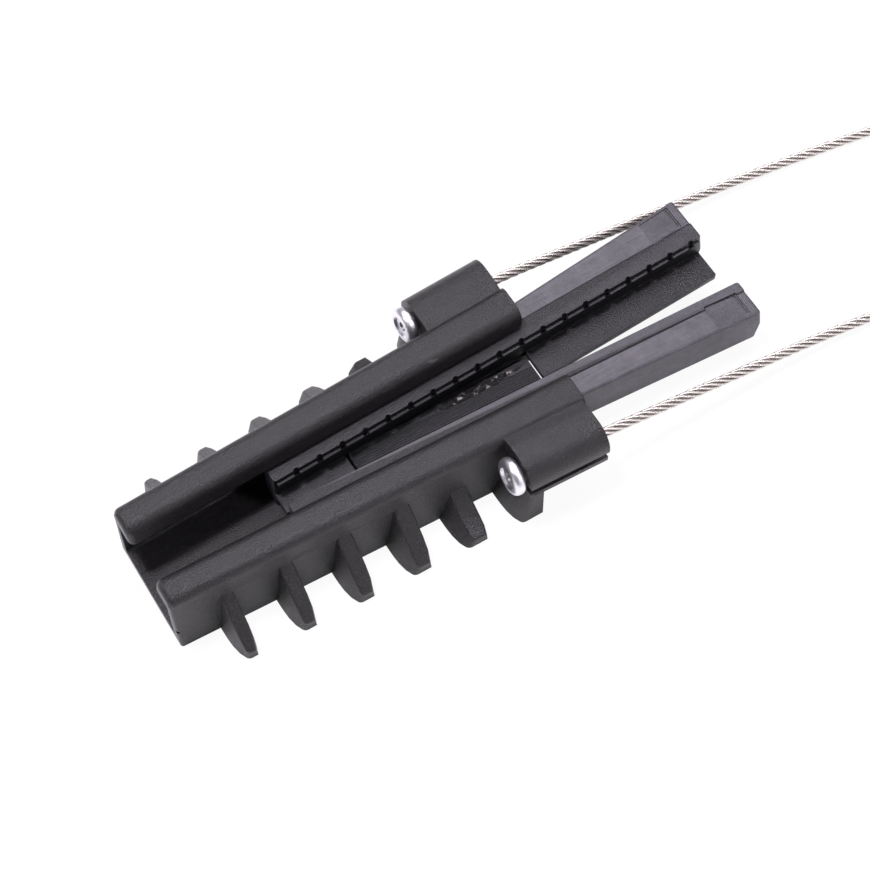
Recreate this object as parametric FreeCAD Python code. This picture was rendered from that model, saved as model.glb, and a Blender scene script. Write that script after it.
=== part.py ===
import FreeCAD, Part
import math
import os

# A dead-end clamp for overhead cable: a moulded tray with two overhanging rails, a pair of
# sliding jaws that wedge onto the cable, and a steel rope bail held in the tray's ears.
#
# All sizes are millimetres. A station is a distance along X from the tray's narrow end.
# Pieces are modelled in stations and moved at the end, so that the origin of the finished
# clamp is the middle of the tray's underside, with +X towards the bail and +Z up.

Vector = FreeCAD.Vector

# Tray: floor and side walls
TRAY_LENGTH = 215.0
BASE_HALF_WIDTH = 30.3
CHANNEL_HALF_WIDTH = 24.0
WALL_SPREAD = 0.0415
WALL_LEAN = 2.6
FLOOR_THICKNESS = 5.5
FLOOR_CORNER_RADIUS = 2.0
END_CORNER_RADIUS = 1.6
GATE_NOTCH_HEIGHT = 12.6
GATE_NOTCH_LENGTH = 5.0
GATE_NOTCH_WIDTH = 2.2

# Rails along the tops of the walls
RAIL_TOP = 43.5
RAIL_EDGE_HEIGHT = 37.6
RAIL_OVERHANG = 0.8
RAIL_OUTER_RADIUS = 5.0
RAIL_INNER_RADIUS = 6.0
RAIL_END_RADIUS = 3.4
LIP_UNDERSIDE = 33.0
LIP_HALF_GAP = 11.0
LIP_SPREAD = 0.033
LIP_LEAN_NARROW_END = 2.8
LIP_LEAN_WIDE_END = 1.2

# Fins outside the walls
FIN_COUNT = 5
FIRST_FIN_STATION = 26.6
FIN_PITCH = 29.95
FIN_THICKNESS = 6.6
FIN_GROWTH = 0.62
FIN_REACH = 20.4
FIN_ROOT_HEIGHT = 29.5
FIN_SHOULDER_HEIGHT = 6.4
FIN_FLARE = 3.4
FIN_FLARE_GROWTH = 0.75
FIN_REAR_FLARE = 0.5
FIN_TIP_INSET = 3.6
FIN_TIP_REAR_INSET = 2.0
FIN_CORNER_RADIUS = 2.8
FIN_STEPS = 5
FIN_EDGE_RADIUS = 1.3
SHORT_FIN_HEIGHTS = [21.0, 15.2, 11.0, 8.2, 6.6, 5.8]

# Ears that hold the ends of the bail
EAR_LENGTH = 43.5
EAR_REACH = 21.4
EAR_END_INSET = 1.4
EAR_ROUNDING = 11.0
EAR_WALL = 3.6
EAR_END_WALL = 6.0
HOOD_EDGE_HEIGHT = 30.5
CREASE_HEIGHT = 42.1
CREASE_INSET = 2.0
CREASE_WIDTH = 4.5
CREASE_ROUNDING = 5.0
SHELF_TOP = 25.2
SHELF_THICKNESS = 3.3
SHELF_REACH = 20.8
CAVITY_INNER_REACH = 2.8
CAVITY_RADIUS = 5.0
GUSSET_LENGTH = 9.3
GUSSET_REACH = 21.2
BORE_CLEARANCE = 0.55

# Bail: one length of stranded rope with a stop pressed on each end
ROPE_DIAMETER = 5.0
STOP_DIAMETER = 19.0
STOP_THICKNESS = 6.2
STOP_RIM_RADIUS = 2.7
STOP_DISH_DIAMETER = 11.5
STOP_DISH_DEPTH = 1.2
STOP_NECK_DIAMETER = 9.0
STOP_NECK_LENGTH = 5.0
STOP_GAP = 0.9
ROPE_END_RECESS = 0.2

# Jaws
JAW_START = 72.0
JAW_LENGTH = 247.0
JAW_HEIGHT = 25.0
JAW_FLOOR_CLEARANCE = 0.3
JAW_FACE_SPREAD = 0.037
LEFT_FACE_OFFSET = 7.2
LEFT_BACK_OFFSET = 18.3
LEFT_BACK_SPREAD = 0.097
LEFT_BAND_WIDTH = 9.3
LEFT_SLIDE_SPREAD = 0.091
RIGHT_FACE_OFFSET = 5.65
RIGHT_BACK_OFFSET = 18.5
RIGHT_BACK_SPREAD = 0.065
RIGHT_BAND_WIDTH = 5.5
RIGHT_SLIDE_SPREAD = 0.04
JAW_TRAVEL = 60.0
JAW_TOP_RADIUS = 1.6
JAW_BOTTOM_RADIUS = 2.5
JAW_END_RADIUS = 1.4
JAW_END_DRAFT = 2.0
JAW_CREASE_GROOVE = 0.55
JAW_BAND_STEP = 0.45
RIDGE_DROP = 2.6
RIDGE_HEIGHT = 2.4
RIDGE_DEPTH = 1.3
NOTCH_PITCH = 12.7
NOTCH_RADIUS = 1.7
FIRST_NOTCH = 12.0
NOTCH_END_MARGIN = 4.0
POCKET_LENGTH = 18.0
POCKET_WIDTH = 13.0
POCKET_DEPTH = 0.6
POCKET_END_MARGIN = 4.6
POCKET_SIDE_MARGIN = 2.0
POCKET_GROOVE_WIDTH = 0.9
POCKET_GROOVE_DEPTH = 1.2

# Plates and tab that key the two jaws together below the cable
KEY_THICKNESS = 3.0
KEY_TOP = 17.0
KEY_CLEARANCE = 0.4
KEY_END_GAP = 1.5
TAB_START = 112.0
TAB_LENGTH = 100.5
TAB_EDGE = 9.5
FRONT_PLATE_EDGE = 3.5
REAR_PLATE_EDGE = 4.4
PLATE_EDGE_SPREAD = 0.045
KEY_EDGE_RADIUS = 1.0
REAR_SLOT_LENGTH = 30.0
RIB_COUNT = 11
RIB_PITCH = 1.25
RIB_GROOVE_WIDTH = 0.55
RIB_GROOVE_DEPTH = 0.5
RIB_FIRST_OFFSET = 1.6

# Route of the rope's middle line, as station, Y and Z, from one stop to the other
ROPE_ROUTE = [
    (165.0, 48.0, 32.0),
    (210.0, 49.6, 29.9),
    (264.0, 50.2, 19.5),
    (322.0, 50.3, 9.2),
    (376.0, 48.0, 3.3),
    (428.0, 41.5, 2.6),
    (474.0, 34.5, 2.6),
    (497.0, -2.0, 2.6),
    (489.0, -44.0, 2.6),
    (452.0, -65.0, 2.6),
    (404.0, -57.0, 2.7),
    (350.0, -51.4, 5.6),
    (304.0, -50.3, 12.3),
    (256.0, -49.9, 21.0),
    (210.0, -49.6, 29.9),
    (165.0, -48.0, 32.0),
]
BEND_SHARE = 0.45

# Worked out from the sizes above
EAR_START = TRAY_LENGTH - EAR_LENGTH
ORIGIN_SHIFT = Vector(-TRAY_LENGTH / 2, 0, 0)
OVERCUT = 1.0
SINK = 2.0
SAME_PLACE = 0.01
SEAM_TURN = FreeCAD.Rotation(Vector(0, 0, 1), -90)


class Jaw:
    """Sizes in which the two jaws differ; distances are from the middle plane at the narrow end."""

    def __init__(self, face_offset, back_offset, back_spread, band_width, has_open_notches):
        self.face_offset = face_offset
        self.back_offset = back_offset
        self.back_spread = back_spread
        self.band_width = band_width
        self.has_open_notches = has_open_notches

    def face(self, station):
        """Distance from the middle plane to the gripping face."""
        return self.face_offset + JAW_FACE_SPREAD * (station - JAW_START)

    def back(self, station):
        """Distance from the middle plane to the outer face."""
        return self.back_offset + self.back_spread * (station - JAW_START)


LEFT_JAW = Jaw(LEFT_FACE_OFFSET, LEFT_BACK_OFFSET, LEFT_BACK_SPREAD, LEFT_BAND_WIDTH, True)
RIGHT_JAW = Jaw(RIGHT_FACE_OFFSET, RIGHT_BACK_OFFSET, RIGHT_BACK_SPREAD, RIGHT_BAND_WIDTH, False)


def base_half_width(station):
    """Distance from the middle plane to the wall's foot."""
    return BASE_HALF_WIDTH + WALL_SPREAD * station


def channel_half_width(station):
    """Distance from the middle plane to the wall's inner face."""
    return CHANNEL_HALF_WIDTH + WALL_SPREAD * station


def rail_half_width(station):
    """Distance from the middle plane to the rail's outer edge."""
    return base_half_width(station) - WALL_LEAN + RAIL_OVERHANG


def corner_arc(before, corner, after, radius):
    """Start, middle and end of the arc that rounds one corner of an outline."""
    to_before = (before - corner).normalize()
    to_after = (after - corner).normalize()
    half_angle = to_before.getAngle(to_after) / 2
    reach = radius / math.tan(half_angle)
    to_middle = (to_before + to_after).normalize()
    depth = radius / math.sin(half_angle) - radius
    return corner + to_before * reach, corner + to_middle * depth, corner + to_after * reach


def outline(corners):
    """Closed wire through corners, each a point and the radius that rounds it."""
    edges = []
    stops = []
    count = len(corners)
    for index, (point, radius) in enumerate(corners):
        before = corners[index - 1][0]
        after = corners[(index + 1) % count][0]
        if radius > 0:
            stops.append(corner_arc(before, point, after, radius))
        else:
            stops.append((point, None, point))
    for index, (start, middle, end) in enumerate(stops):
        if middle is not None:
            edges.append(Part.Arc(start, middle, end).toShape())
        following = stops[(index + 1) % count][0]
        edges.append(Part.LineSegment(end, following).toShape())
    return Part.Wire(edges)


def cross_section(station, corners):
    """Outline across the clamp from (y, z, radius) corners."""
    return outline([(Vector(station, y, z), radius) for y, z, radius in corners])


def plan_outline(height, corners):
    """Outline seen from above from (station, y, radius) corners."""
    return outline([(Vector(station, y, height), radius) for station, y, radius in corners])


def ruled(section, start, end):
    """Solid between a section function's outlines at two stations."""
    wires = [cross_section(station, section(station)) for station in (start, end)]
    return Part.makeLoft(wires, True, True)


def extruded(wire, direction):
    """Solid made by pushing a flat outline along a direction."""
    return Part.Face(wire).extrude(direction)


def rounded(shape, radius, chosen):
    """Shape with a fillet on the edges that the chosen test picks."""
    edges = [edge for edge in shape.Edges if chosen(edge)]
    return shape.makeFillet(radius, edges)


def mirrored(shape):
    """The same shape on the other side of the clamp's middle plane."""
    return shape.mirror(Vector(0, 0, 0), Vector(0, 1, 0))


def lies_at_station(edge, station):
    """Whether every point of an edge lies on the plane across the clamp there."""
    box = edge.BoundBox
    return abs(box.XMin - station) < SAME_PLACE and abs(box.XMax - station) < SAME_PLACE


def wall_section(station):
    """Half of the floor with its wall, which runs up into the rail; it starts below the underside."""
    foot = base_half_width(station)
    inside = channel_half_width(station)
    wall_top = RAIL_TOP - RAIL_OUTER_RADIUS
    lean = WALL_LEAN * wall_top / RAIL_EDGE_HEIGHT
    return [
        (0, -SINK, 0),
        (foot, -SINK, 0),
        (foot, 0, 0),
        (foot - lean, wall_top, 0),
        (inside, wall_top, 0),
        (inside, FLOOR_THICKNESS, FLOOR_CORNER_RADIUS),
        (0, FLOOR_THICKNESS, 0),
    ]


def rail_section(station):
    """The rail, from its outer edge over the crown to the lip above the jaws."""
    outside = rail_half_width(station)
    inside = channel_half_width(station)
    lip = LIP_HALF_GAP + LIP_SPREAD * station
    along = station / TRAY_LENGTH
    lean = LIP_LEAN_NARROW_END + (LIP_LEAN_WIDE_END - LIP_LEAN_NARROW_END) * along
    return [
        (outside, RAIL_EDGE_HEIGHT, 0),
        (outside, RAIL_TOP, RAIL_OUTER_RADIUS),
        (lip + lean, RAIL_TOP, RAIL_INNER_RADIUS),
        (lip, LIP_UNDERSIDE, 0),
        (inside + SINK, LIP_UNDERSIDE, 0),
        (inside + SINK, RAIL_EDGE_HEIGHT, 0),
    ]


def wall_half():
    """Floor and wall on the left side, with the narrow end's corner rounded."""
    below = Part.makeBox(
        TRAY_LENGTH + OVERCUT * 2, base_half_width(TRAY_LENGTH) + OVERCUT * 2, SINK * 2,
        Vector(-OVERCUT, -OVERCUT, -SINK * 2),
    )
    wall = ruled(wall_section, 0, TRAY_LENGTH).cut(below)

    def outer_end_corner(edge):
        return lies_at_station(edge, 0) and edge.BoundBox.YMin > CHANNEL_HALF_WIDTH + SINK

    wall = rounded(wall, END_CORNER_RADIUS, outer_end_corner)
    notch_y = base_half_width(0) - GATE_NOTCH_WIDTH - WALL_LEAN * GATE_NOTCH_HEIGHT / RAIL_EDGE_HEIGHT
    notch = Part.makeWedge(
        -OVERCUT, notch_y, GATE_NOTCH_HEIGHT, GATE_NOTCH_HEIGHT, -OVERCUT,
        GATE_NOTCH_LENGTH, base_half_width(0), GATE_NOTCH_HEIGHT + GATE_NOTCH_WIDTH,
        GATE_NOTCH_HEIGHT + GATE_NOTCH_WIDTH, -OVERCUT,
    )
    return wall.cut(notch)


def rail_half():
    """Rail on the left side, with its narrow end rounded over."""
    rail = ruled(rail_section, 0, TRAY_LENGTH)

    def crown_end(edge):
        box = edge.BoundBox
        is_top = box.ZMax > RAIL_EDGE_HEIGHT + OVERCUT
        return lies_at_station(edge, 0) and is_top

    return rounded(rail, RAIL_END_RADIUS, crown_end)


def bracket(top_start, top_end, flare, profile):
    """Fin or gusset whose front side leans out towards its foot.

    The profile lists, from the wall outwards, the distance from the middle plane, the height
    there and how far the foot's front edge and the whole rear side are drawn in there.
    """
    sections = []
    for distance, height, front_inset, rear_inset in profile:
        corners = [
            Vector(top_start - flare + front_inset, distance, 0),
            Vector(top_end + FIN_REAR_FLARE - rear_inset, distance, 0),
            Vector(top_end - rear_inset, distance, height),
            Vector(top_start, distance, height),
        ]
        sections.append(Part.makePolygon(corners + corners[:1]))
    shape = Part.makeLoft(sections, True, True)
    middle = (top_start + top_end) / 2
    tip = profile[-1][0]

    def front_corner(edge):
        box = edge.BoundBox
        return box.YMin > tip - SAME_PLACE and box.ZLength > SINK and box.XMax < middle

    return rounded(shape, FIN_CORNER_RADIUS, front_corner)


def foot_profile(root, tip, heights):
    """Distances, heights and insets of a bracket's sections from the wall to its tip."""
    profile = []
    for step, height in enumerate(heights):
        share = step / (len(heights) - 1)
        distance = root + (tip - root) * share
        profile.append((distance, height, FIN_TIP_INSET * share ** 4, FIN_TIP_REAR_INSET * share ** 6))
    return profile


def fin(index):
    """One fin with rounded outer edges; the last one is short and hollowed."""
    middle = FIRST_FIN_STATION + index * FIN_PITCH
    thickness = FIN_THICKNESS + index * FIN_GROWTH
    foot = base_half_width(middle)
    root = foot - WALL_LEAN - SINK / 2
    tip = foot + FIN_REACH
    drop = (FIN_ROOT_HEIGHT - FIN_SHOULDER_HEIGHT) / FIN_STEPS
    heights = [FIN_ROOT_HEIGHT - drop * step for step in range(FIN_STEPS + 1)]
    if index == FIN_COUNT - 1:
        heights = SHORT_FIN_HEIGHTS
    flare = FIN_FLARE + FIN_FLARE_GROWTH * index
    profile = foot_profile(root, tip, heights)
    plate = bracket(middle - thickness / 2, middle + thickness / 2, flare, profile)

    def upper_edge(edge):
        box = edge.BoundBox
        is_low = box.ZMin < SINK
        runs_along = box.XLength > thickness / 2
        return not is_low and box.YMax > foot + SINK and (not runs_along or box.YMin > tip - SINK / 2)

    return rounded(plate, FIN_EDGE_RADIUS, upper_edge)


def ear_section(station):
    """Outside of an ear: shelf below, slit at the side and rounded hood above."""
    foot = base_half_width(station)
    rail = rail_half_width(station)
    root = foot - WALL_LEAN - SINK / 2
    slit_end = foot + EAR_REACH - EAR_WALL
    shelf_bottom = SHELF_TOP - SHELF_THICKNESS
    return [
        (root, shelf_bottom, 0),
        (foot + SHELF_REACH, shelf_bottom, 0),
        (foot + SHELF_REACH, SHELF_TOP, 0),
        (slit_end, SHELF_TOP, 0),
        (slit_end, HOOD_EDGE_HEIGHT, 0),
        (foot + EAR_REACH, HOOD_EDGE_HEIGHT, 0),
        (foot + EAR_REACH, RAIL_TOP, EAR_ROUNDING),
        (rail + CREASE_WIDTH, RAIL_TOP, CREASE_ROUNDING),
        (rail - CREASE_INSET, CREASE_HEIGHT, 0),
        (root, CREASE_HEIGHT, 0),
    ]


def cavity_section(station):
    """Hollow of an ear, where the rope runs."""
    foot = base_half_width(station)
    inner = foot + CAVITY_INNER_REACH
    outer = foot + EAR_REACH - EAR_WALL
    return [
        (inner, SHELF_TOP, 0),
        (outer, SHELF_TOP, 0),
        (outer, RAIL_TOP - EAR_WALL, CAVITY_RADIUS),
        (inner, RAIL_TOP - EAR_WALL, 0),
    ]


def gusset():
    """Deep bracket below the front of an ear, flared like a fin."""
    foot = base_half_width(EAR_START)
    root = foot - WALL_LEAN - SINK / 2
    tip = foot + GUSSET_REACH
    top = SHELF_TOP - SHELF_THICKNESS / 2
    flare = FIN_FLARE + FIN_FLARE_GROWTH * FIN_COUNT
    profile = foot_profile(root, tip, [top] * (FIN_STEPS + 1))
    return bracket(EAR_START, EAR_START + GUSSET_LENGTH, flare, profile)


def ear_bore():
    """Clearance hole for the stop's neck, open to the side slit through the ear's end wall."""
    start, direction = rope_start()
    radius = STOP_NECK_DIAMETER / 2 + BORE_CLEARANCE
    bore = Part.makeCylinder(radius, STOP_THICKNESS + EAR_END_WALL + STOP_NECK_LENGTH, start, direction)
    foot = base_half_width(EAR_START)
    slit_inner = start.y
    slit = Part.makeBox(
        EAR_END_WALL + OVERCUT * 2, foot + EAR_REACH + OVERCUT * 2 - slit_inner, HOOD_EDGE_HEIGHT - SHELF_TOP,
        Vector(EAR_START - OVERCUT, slit_inner, SHELF_TOP),
    )
    return bore.fuse(slit)


def clamp_body():
    """The whole tray: one half is built and mirrored."""
    half = wall_half().fuse([rail_half()])
    half = half.fuse([fin(index) for index in range(FIN_COUNT)])
    half = half.fuse([ruled(ear_section, EAR_START, TRAY_LENGTH - EAR_END_INSET), gusset()])
    cavity = ruled(cavity_section, EAR_START + EAR_END_WALL, TRAY_LENGTH + OVERCUT)
    half = half.cut(cavity).cut(ear_bore())
    whole = half.fuse(mirrored(half))
    return whole.removeSplitter()


def rope_points():
    """Route of the rope as vectors."""
    return [Vector(*point) for point in ROPE_ROUTE]


def rope_start():
    """Middle of the left stop's outer face, and the direction in which the rope leaves it."""
    first, second = rope_points()[:2]
    direction = (second - first).normalize()
    to_ear = (EAR_START - STOP_GAP - first.x) / direction.x
    return first + direction * (to_ear - STOP_THICKNESS), direction


def rope_stop():
    """Turned stop: a dished disc with a rounded rim and a neck that enters the ear."""
    outer = STOP_DIAMETER / 2
    neck = STOP_NECK_DIAMETER / 2
    bore = ROPE_DIAMETER / 2
    dish = STOP_DISH_DIAMETER / 2
    profile = outline([
        (Vector(bore, 0, STOP_DISH_DEPTH), 0),
        (Vector(dish - STOP_DISH_DEPTH, 0, STOP_DISH_DEPTH), 0),
        (Vector(dish, 0, 0), 0),
        (Vector(outer, 0, 0), STOP_RIM_RADIUS),
        (Vector(outer, 0, STOP_THICKNESS), STOP_RIM_RADIUS),
        (Vector(neck, 0, STOP_THICKNESS), 0),
        (Vector(neck, 0, STOP_THICKNESS + STOP_NECK_LENGTH), 0),
        (Vector(bore, 0, STOP_THICKNESS + STOP_NECK_LENGTH), 0),
    ])
    turned = Part.Face(profile).revolve(Vector(0, 0, 0), Vector(0, 0, 1), 360)
    start, direction = rope_start()
    turned.Placement = FreeCAD.Placement(start, FreeCAD.Rotation(Vector(0, 0, 1), direction))
    return turned


def bail_rope():
    """The rope as a tube along straight runs joined by tangent arcs, and its length."""
    points = rope_points()
    start, direction = rope_start()
    points[0] = start + direction * (STOP_DISH_DEPTH - ROPE_END_RECESS)
    points[-1] = Vector(points[0].x, -points[0].y, points[0].z)
    edges = []
    radii = []
    reached = points[0]
    for before, corner, after in zip(points, points[1:], points[2:]):
        turn = (corner - before).getAngle(after - corner)
        run = min((corner - before).Length, (after - corner).Length)
        radius = BEND_SHARE * run / math.tan(turn / 2)
        radii.append(radius)
        arc_start, arc_middle, arc_end = corner_arc(before, corner, after, radius)
        edges.append(Part.LineSegment(reached, arc_start).toShape())
        edges.append(Part.Arc(arc_start, arc_middle, arc_end).toShape())
        reached = arc_end
    edges.append(Part.LineSegment(reached, points[-1]).toShape())
    path = Part.Wire(edges)
    section = Part.Wire(Part.makeCircle(ROPE_DIAMETER / 2, points[0], direction))
    tube = path.makePipeShell([section], True, False)
    share = tube.Volume / (math.pi * (ROPE_DIAMETER / 2) ** 2 * path.Length)
    print("rope length %.1f mm, tube volume over section times length %.4f" % (path.Length, share))
    print("rope bend radii, mm:", [round(radius) for radius in radii])
    return tube


def jaw_bottom():
    """Height of the jaw's underside."""
    return FLOOR_THICKNESS + JAW_FLOOR_CLEARANCE


def jaw_section(jaw, station):
    """Plain jaw across the clamp, with its stepped top."""
    face = jaw.face(station)
    back = jaw.back(station)
    crease = face + jaw.band_width
    bottom = jaw_bottom()
    top = bottom + JAW_HEIGHT
    outer_top = top - JAW_BAND_STEP
    return [
        (face, bottom, 0),
        (back, bottom, JAW_BOTTOM_RADIUS),
        (back, outer_top, JAW_TOP_RADIUS),
        (crease, outer_top, 0),
        (crease, top, 0),
        (face, top, 0),
    ]


def crease_groove_section(jaw, station):
    """Fine V groove along the foot of the step in the jaw's top."""
    crease = jaw.face(station) + jaw.band_width
    outer_top = jaw_bottom() + JAW_HEIGHT - JAW_BAND_STEP
    return [
        (crease - JAW_CREASE_GROOVE / 4, outer_top + JAW_BAND_STEP / 2, 0),
        (crease + JAW_CREASE_GROOVE / 2, outer_top - JAW_CREASE_GROOVE, 0),
        (crease + JAW_CREASE_GROOVE * 5 / 4, outer_top + JAW_BAND_STEP / 2, 0),
    ]


def ridge_section(jaw, station):
    """Toothed ridge below the jaw's inner top edge, bevelled on top."""
    face = jaw.face(station)
    top = jaw_bottom() + JAW_HEIGHT - RIDGE_DROP
    return [
        (face + OVERCUT, top, 0),
        (face - RIDGE_DEPTH / 2, top, 0),
        (face - RIDGE_DEPTH, top - RIDGE_DEPTH / 2, 0),
        (face - RIDGE_DEPTH, top - RIDGE_HEIGHT, 0),
        (face + OVERCUT, top - RIDGE_HEIGHT, 0),
    ]


def notches(jaw):
    """Half-round notches that cut the ridge into teeth and, where open, the edge above it."""
    top = jaw_bottom() + JAW_HEIGHT
    height = RIDGE_HEIGHT + RIDGE_DROP / 2 + OVERCUT
    if jaw.has_open_notches:
        height += RIDGE_DROP
    cutters = []
    station = JAW_START + FIRST_NOTCH
    while station < JAW_START + JAW_LENGTH - NOTCH_END_MARGIN:
        place = Vector(station, jaw.face(station) - RIDGE_DEPTH / 2, top - RIDGE_DROP - RIDGE_HEIGHT - OVERCUT)
        cutter = Part.makeCylinder(NOTCH_RADIUS, height)
        cutter.Placement = FreeCAD.Placement(place, SEAM_TURN)
        cutters.append(cutter)
        station += NOTCH_PITCH
    return cutters


def label_pocket(jaw):
    """Shallow bare pocket near the jaw's wide end, with a groove across its far side."""
    end = JAW_START + JAW_LENGTH - POCKET_END_MARGIN
    start = end - POCKET_LENGTH
    top = jaw_bottom() + JAW_HEIGHT - JAW_BAND_STEP
    outer_start = jaw.back(start) - POCKET_SIDE_MARGIN
    outer_end = jaw.back(end) - POCKET_SIDE_MARGIN
    floor = plan_outline(top - POCKET_DEPTH, [
        (start, outer_start - POCKET_WIDTH, 0),
        (end, outer_end - POCKET_WIDTH, 0),
        (end, outer_end, 0),
        (start, outer_start, 0),
    ])
    groove = Part.makeBox(
        POCKET_GROOVE_WIDTH, POCKET_WIDTH - POCKET_SIDE_MARGIN, POCKET_GROOVE_DEPTH + OVERCUT,
        Vector(end - POCKET_GROOVE_WIDTH * 2, outer_end - POCKET_WIDTH + POCKET_SIDE_MARGIN / 2,
               top - POCKET_GROOVE_DEPTH),
    )
    return extruded(floor, Vector(0, 0, POCKET_DEPTH + OVERCUT)).fuse(groove)


def end_draft(jaw):
    """Wedges above and below mid-height that leave the wide end's parting line standing out."""
    end = JAW_START + JAW_LENGTH
    line = end + JAW_END_DRAFT
    past = line + OVERCUT
    width = jaw.back(past) + OVERCUT
    middle = jaw_bottom() + JAW_HEIGHT / 2
    wedges = []
    for level in (jaw_bottom(), jaw_bottom() + JAW_HEIGHT):
        side = Part.makePolygon([
            Vector(end, 0, level),
            Vector(line, 0, middle),
            Vector(past, 0, middle),
            Vector(past, 0, level * 2 - middle),
            Vector(end, 0, level * 2 - middle),
            Vector(end, 0, level),
        ])
        wedges.append(extruded(side, Vector(0, width, 0)))
    return wedges


def plain_jaw(jaw):
    """Jaw with rounded ends, ridge, notches and label pocket, on the left side."""
    end = JAW_START + JAW_LENGTH
    shape = ruled(lambda station: jaw_section(jaw, station), JAW_START, end + JAW_END_DRAFT)
    shape = shape.cut(end_draft(jaw))

    def end_corner(edge):
        box = edge.BoundBox
        at_an_end = lies_at_station(edge, JAW_START) or box.XMin > end - SAME_PLACE
        return at_an_end and box.YLength < JAW_END_DRAFT and box.ZLength > JAW_HEIGHT / 4

    shape = rounded(shape, JAW_END_RADIUS, end_corner)
    ridge = ruled(
        lambda station: ridge_section(jaw, station), JAW_START + JAW_END_RADIUS, end - JAW_END_RADIUS
    )
    shape = shape.fuse(ridge)
    groove = ruled(
        lambda station: crease_groove_section(jaw, station),
        JAW_START - OVERCUT, end + JAW_END_DRAFT + OVERCUT,
    )
    for cutter in [groove] + notches(jaw) + [label_pocket(jaw)]:
        shape = shape.cut(cutter)
    return shape


def key_plate(jaw, start, end, edge_at_start, edge_at_end, edge_radius):
    """Flat plate from inside a jaw, across the gap below the cable, to its free edge."""
    inner_start = jaw.face(start) + SINK
    inner_end = jaw.face(end) + SINK
    plan = plan_outline(KEY_TOP - KEY_THICKNESS, [
        (start, inner_start, 0),
        (end, inner_end, 0),
        (end, edge_at_end, edge_radius),
        (start, edge_at_start, edge_radius),
    ])
    return extruded(plan, Vector(0, 0, KEY_THICKNESS))


def key_slot(jaw, start, end, reach):
    """Slot in a jaw's face for the other jaw's plate or tab, which enters as the jaws close."""
    bottom = KEY_TOP - KEY_THICKNESS - KEY_CLEARANCE
    plan = plan_outline(bottom, [
        (start, jaw.face(start) - SINK, 0),
        (end, jaw.face(end) - SINK, 0),
        (end, reach(end), 0),
        (start, reach(start), 0),
    ])
    return extruded(plan, Vector(0, 0, KEY_THICKNESS + KEY_CLEARANCE * 2))


def closing_distance():
    """How much nearer the two jaws come over their whole travel."""
    return (LEFT_SLIDE_SPREAD + RIGHT_SLIDE_SPREAD) * JAW_TRAVEL


def front_plate_edge(station):
    """Y of the front plate's free edge, on the far side of the middle plane."""
    return -FRONT_PLATE_EDGE + PLATE_EDGE_SPREAD * (station - JAW_START)


def rear_plate_edge(station):
    """Y of the rear plate's free edge, on the far side of the middle plane."""
    rear_start = TAB_START + TAB_LENGTH + KEY_END_GAP
    return -REAR_PLATE_EDGE + PLATE_EDGE_SPREAD * (station - rear_start)


def wedge_left():
    """Jaw with the two plates, and a slot between them for the other jaw's tab."""
    end = JAW_START + JAW_LENGTH
    front_end = TAB_START - KEY_END_GAP
    rear_start = TAB_START + TAB_LENGTH + KEY_END_GAP
    jaw = LEFT_JAW
    slot_depth = TAB_EDGE + closing_distance() + KEY_CLEARANCE
    slot = key_slot(jaw, front_end, rear_start, lambda station: slot_depth)
    front = key_plate(
        jaw, JAW_START, front_end, front_plate_edge(JAW_START), front_plate_edge(front_end), 0
    )
    rear = key_plate(
        jaw, rear_start, end, rear_plate_edge(rear_start), rear_plate_edge(end), KEY_EDGE_RADIUS
    )
    return plain_jaw(jaw).cut(slot).fuse([front, rear]).removeSplitter()


def tab_ribs():
    """Fine grooves along the tab that leave ribs between them."""
    grooves = []
    end = TAB_START + TAB_LENGTH
    inner = RIGHT_JAW.face(TAB_START)
    outer = RIGHT_JAW.face(end)
    for index in range(RIB_COUNT):
        offset = RIB_FIRST_OFFSET + index * RIB_PITCH
        plan = plan_outline(KEY_TOP - RIB_GROOVE_DEPTH, [
            (TAB_START - OVERCUT, inner - offset, 0),
            (end + OVERCUT, outer - offset, 0),
            (end + OVERCUT, outer - offset - RIB_GROOVE_WIDTH, 0),
            (TAB_START - OVERCUT, inner - offset - RIB_GROOVE_WIDTH, 0),
        ])
        grooves.append(extruded(plan, Vector(0, 0, RIB_GROOVE_DEPTH + OVERCUT)))
    return grooves


def wedge_right():
    """Jaw with the ribbed tab, and slots for the other jaw's plates."""
    jaw = RIGHT_JAW
    tab_end = TAB_START + TAB_LENGTH
    closing = closing_distance()

    def front_reach(station):
        return closing - front_plate_edge(station) + KEY_CLEARANCE

    def rear_reach(station):
        return closing - rear_plate_edge(station) + KEY_CLEARANCE

    front_slot = key_slot(jaw, JAW_START - OVERCUT, TAB_START, front_reach)
    rear_slot = key_slot(jaw, tab_end, tab_end + REAR_SLOT_LENGTH, rear_reach)
    tab = key_plate(jaw, TAB_START, tab_end, -TAB_EDGE, -TAB_EDGE, 0).cut(tab_ribs())
    return mirrored(plain_jaw(jaw).cut([front_slot, rear_slot]).fuse(tab))


def main():
    """Build every piece, check it and write it to its own file."""
    os.makedirs("parts", exist_ok=True)
    stop = rope_stop()
    pieces = {
        "clamp_body": clamp_body(),
        "wedge_left": wedge_left(),
        "wedge_right": wedge_right(),
        "bail_rope": bail_rope(),
        "stop_left": stop,
        "stop_right": mirrored(stop),
    }
    for name, shape in pieces.items():
        solid = shape.Solids[0]
        solid.translate(ORIGIN_SHIFT)
        box = solid.BoundBox
        print(
            "%s: %d solid, valid %s, volume %.1f cm3, X %.1f to %.1f, Y %.1f to %.1f, Z %.1f to %.1f"
            % (name, len(shape.Solids), solid.isValid(), solid.Volume / 1000,
               box.XMin, box.XMax, box.YMin, box.YMax, box.ZMin, box.ZMax)
        )
        solid.exportStep("parts/%s.step" % name)


main()
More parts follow.
